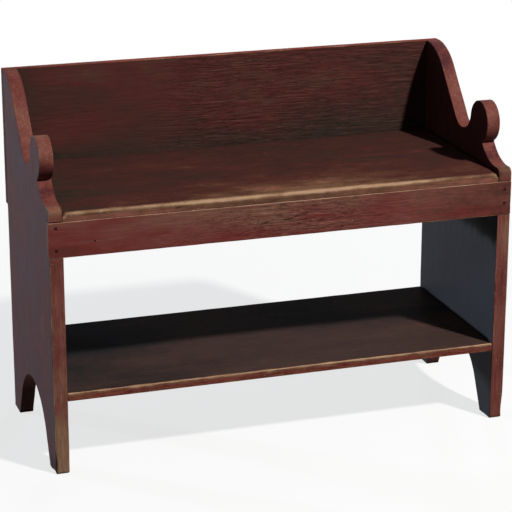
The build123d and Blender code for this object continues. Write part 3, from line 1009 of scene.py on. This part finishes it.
# The first two colours, blue-grey, serve the inner faces below the seat: a painted bluish sheen over the red
# paint.
END_PAINT = (
    (0.0, (0.0395, 0.038, 0.043)), (0.14, (0.039, 0.0325, 0.042)), (0.32, (0.058, 0.0142, 0.0198)),
    (0.42, (0.076, 0.02, 0.021)), (0.54, (0.142, 0.038, 0.0305)), (0.68, (0.176, 0.06, 0.046)),
    (0.84, (0.22, 0.112, 0.068)), (1.0, (0.27, 0.16, 0.098)),
)
END_THIN = (0.14, 0.088, 0.058)
END_WOOD = ((0.2, 0.14, 0.085), (0.33, 0.235, 0.145))
BACK_PAINT = (
    (0.0, (0.025, 0.021, 0.0165)), (0.24, (0.042, 0.025, 0.02)), (0.44, (0.058, 0.0232, 0.0196)),
    (0.58, (0.077, 0.0215, 0.0195)), (0.76, (0.072, 0.034, 0.0255)), (0.9, (0.11, 0.052, 0.034)),
    (1.0, (0.19, 0.03, 0.021)),
)
SEAT_PAINT = (
    (0.0, (0.02, 0.015, 0.011)), (0.24, (0.038, 0.023, 0.0172)), (0.44, (0.052, 0.02, 0.0172)),
    (0.6, (0.066, 0.0218, 0.018)), (0.78, (0.098, 0.042, 0.0265)), (0.88, (0.132, 0.062, 0.038)),
    (1.0, (0.235, 0.088, 0.064)),
)
SEAT_THIN = (0.15, 0.079, 0.045)
SEAT_WOOD = ((0.355, 0.207, 0.142), (0.385, 0.255, 0.145))
APRON_PAINT = (
    (0.0, (0.07, 0.026, 0.021)), (0.3, (0.146, 0.0285, 0.0248)), (0.5, (0.156, 0.048, 0.0385)),
    (0.72, (0.172, 0.073, 0.05)), (1.0, (0.25, 0.145, 0.088)),
)
APRON_THIN = (0.25, 0.135, 0.086)
APRON_WOOD = ((0.34, 0.2, 0.14), (0.5, 0.3, 0.21))
# The first two colours, near black and blue-grey, mostly carry the painted shadow at the shelf's rear.
SHELF_PAINT = (
    (0.0, (0.008, 0.01, 0.0125)), (0.26, (0.019, 0.0165, 0.0175)), (0.48, (0.044, 0.0265, 0.0235)),
    (0.66, (0.057, 0.033, 0.0285)), (0.85, (0.14, 0.037, 0.027)), (1.0, (0.19, 0.047, 0.033)),
)


# ---- camera, lights and floor

CAMERA_PLACE = (-1.3945, -4.2198, 1.822)
CAMERA_TURN = (18.3008, -17.969, 0.073)  # yaw, pitch and roll in degrees
LENS, SENSOR_WIDTH = 142.38, 36.0
LAMP_AIM = (0, 0, 0.4)
FLOOR_REACH = 30000
FLOOR_SHOWN = ((0.8, 0.8, 0.81), (0.83, 0.83, 0.84))
FLOOR_BOUNCE = (0.07, 0.085, 0.11)
SKY, SKY_STRENGTH = (0.66, 0.84, 1.0), 0.065


def add_camera():
    """The photograph's viewpoint."""
    yaw, pitch, roll = (math.radians(turn) for turn in CAMERA_TURN)
    ahead = Vector((math.sin(yaw) * math.cos(pitch), math.cos(yaw) * math.cos(pitch), math.sin(pitch)))
    level = Vector((math.cos(yaw), -math.sin(yaw), 0))
    above = level.cross(ahead)
    right = level * math.cos(roll) + above * math.sin(roll)
    up = above * math.cos(roll) - level * math.sin(roll)
    data = bpy.data.cameras.new("camera")
    data.lens, data.sensor_width, data.sensor_fit = LENS, SENSOR_WIDTH, "AUTO"
    data.clip_start, data.clip_end = 0.1, 100.0
    camera = new_object("camera", data)
    turned = Matrix((right, up, -ahead)).transposed().to_4x4()
    camera.matrix_world = Matrix.Translation(CAMERA_PLACE) @ turned
    scene.camera = camera


def add_lamp(name, place, size, strength, colour, shine=True):
    """A round area lamp. strength is its light on a surface that faces it: 1 shows white as white."""
    data = bpy.data.lights.new(name, "AREA")
    data.shape, data.size, data.color = "DISK", size, colour
    ray = Vector(LAMP_AIM) - Vector(place)
    data.energy = strength * math.pi**2 * ray.length**2
    lamp = new_object(name, data)
    lamp.location = place
    lamp.visible_glossy = shine
    lamp.rotation_mode = "QUATERNION"
    lamp.rotation_quaternion = ray.to_track_quat("-Z", "Y")


def add_floor():
    """A pale floor: white where it is seen, and a dark grey to the light that it throws back."""
    s = new_material("floor")
    seen = s.seen_ray()
    grains = s.step(s.noise((180, 180, 180), 3, 0.5), 0.2, 0.8)
    s.set("Base Color", s.mix(seen, FLOOR_BOUNCE, s.mix(grains, *FLOOR_SHOWN)))
    s.set("Roughness", 0.9)
    s.set("Specular IOR Level", 0.0)
    glow = s.make("Emission", {"Color": (1, 1, 1), "Strength": 1.0})
    away = s.make("VectorMath", {0: s.place}, operation="LENGTH").outputs["Value"]
    factor = s.times(seen, s.step(away, 0.7, 3.2, start=0.74))
    mix = s.make("MixShader", {0: factor, 1: s.surface.outputs[0], 2: glow.outputs[0]})
    out = next(n for n in s.tree.nodes if n.type == "OUTPUT_MATERIAL")
    s.put(out.inputs["Surface"], mix.outputs[0])
    corners = [(x * FLOOR_REACH, y * FLOOR_REACH, 0) for x, y in ((-1, -1), (1, -1), (1, 1), (-1, 1))]
    floor = new_mesh("floor", corners, [(0, 1, 2, 3)])
    floor.data.materials.append(s.owner)


def add_world():
    s = Shader(bpy.data.worlds.new("studio"))
    scene.world = s.owner
    sky = s.tree.nodes["Background"]
    s.put(sky.inputs["Color"], SKY)
    s.put(sky.inputs["Strength"], SKY_STRENGTH)
    white = s.make("Background", {"Color": (1, 1, 1)})
    mix = s.make("MixShader", {0: s.seen_ray(), 1: sky.outputs[0], 2: white.outputs[0]})
    s.put(s.tree.nodes["World Output"].inputs["Surface"], mix.outputs[0])


# ---- the bench

scene.view_settings.view_transform = "Standard"
add_camera()
add_world()
add_floor()
add_lamp("key", (3.138, -4.926, 6.457), 0.55, 1.25, (1.0, 0.97, 0.93))
add_lamp("rear_fill", (-5.2, 4.4, 1.08), 0.4, 0.54, (0.7, 0.84, 1.0))
add_lamp("back_fill", (2.2, 5.0, 0.42), 0.7, 0.7, (0.75, 0.88, 1.0), shine=False)

LEFT_SEED, RIGHT_SEED = 101, 201
left_end = make_end("left_end", -1, LEFT_SEED)
right_end = make_end("right_end", 1, RIGHT_SEED)
back_board = make_back()
seat_board = make_seat()
apron = make_apron()
lower_shelf = make_shelf()

coat_end(left_end, -1, LEFT_SEED)
coat_end(right_end, 1, RIGHT_SEED)
coat_back(back_board)
coat_seat(seat_board)
coat_apron(apron)
coat_shelf(lower_shelf)

for piece, gloss, shift in ((left_end, 0.038, 0.0), (right_end, 0.05, 2.0)):
    finish_piece(piece, painted_wood(
        piece.name + "_paint", 2, END_PAINT, END_THIN, END_WOOD, gloss, shift,
        lines=0.9, contrast=0.9, chipped=0.9,
    ))
finish_piece(back_board, painted_wood(
    "back_paint", 0, BACK_PAINT, gloss=0.03, shift=4.0, plain=0.4, contrast=1.1, chipped=0.3,
))
finish_piece(seat_board, painted_wood(
    "seat_paint", 0, SEAT_PAINT, SEAT_THIN, SEAT_WOOD, gloss=0.003, shift=6.0,
    plain=0.6, contrast=0.9, ragged=0.7, mottle=0.32,
))
finish_piece(apron, painted_wood(
    "apron_paint", 0, APRON_PAINT, APRON_THIN, APRON_WOOD, shift=8.0,
    lines=1.5, plain=0.25, contrast=1.9, strand=24, cloudy=0.24, mottle=0.18,
))
finish_piece(lower_shelf, painted_wood("shelf_paint", 0, SHELF_PAINT, shift=10.0, gloss=0.004, chipped=0.8))

iron = rusty_iron()
for pair in ("apron", "seat_end", "shelf_end", "back_end", "back_seat", "seat_apron"):
    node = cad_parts[pair + "_nails"]
    node.data.materials.clear()
    node.data.materials.append(iron)
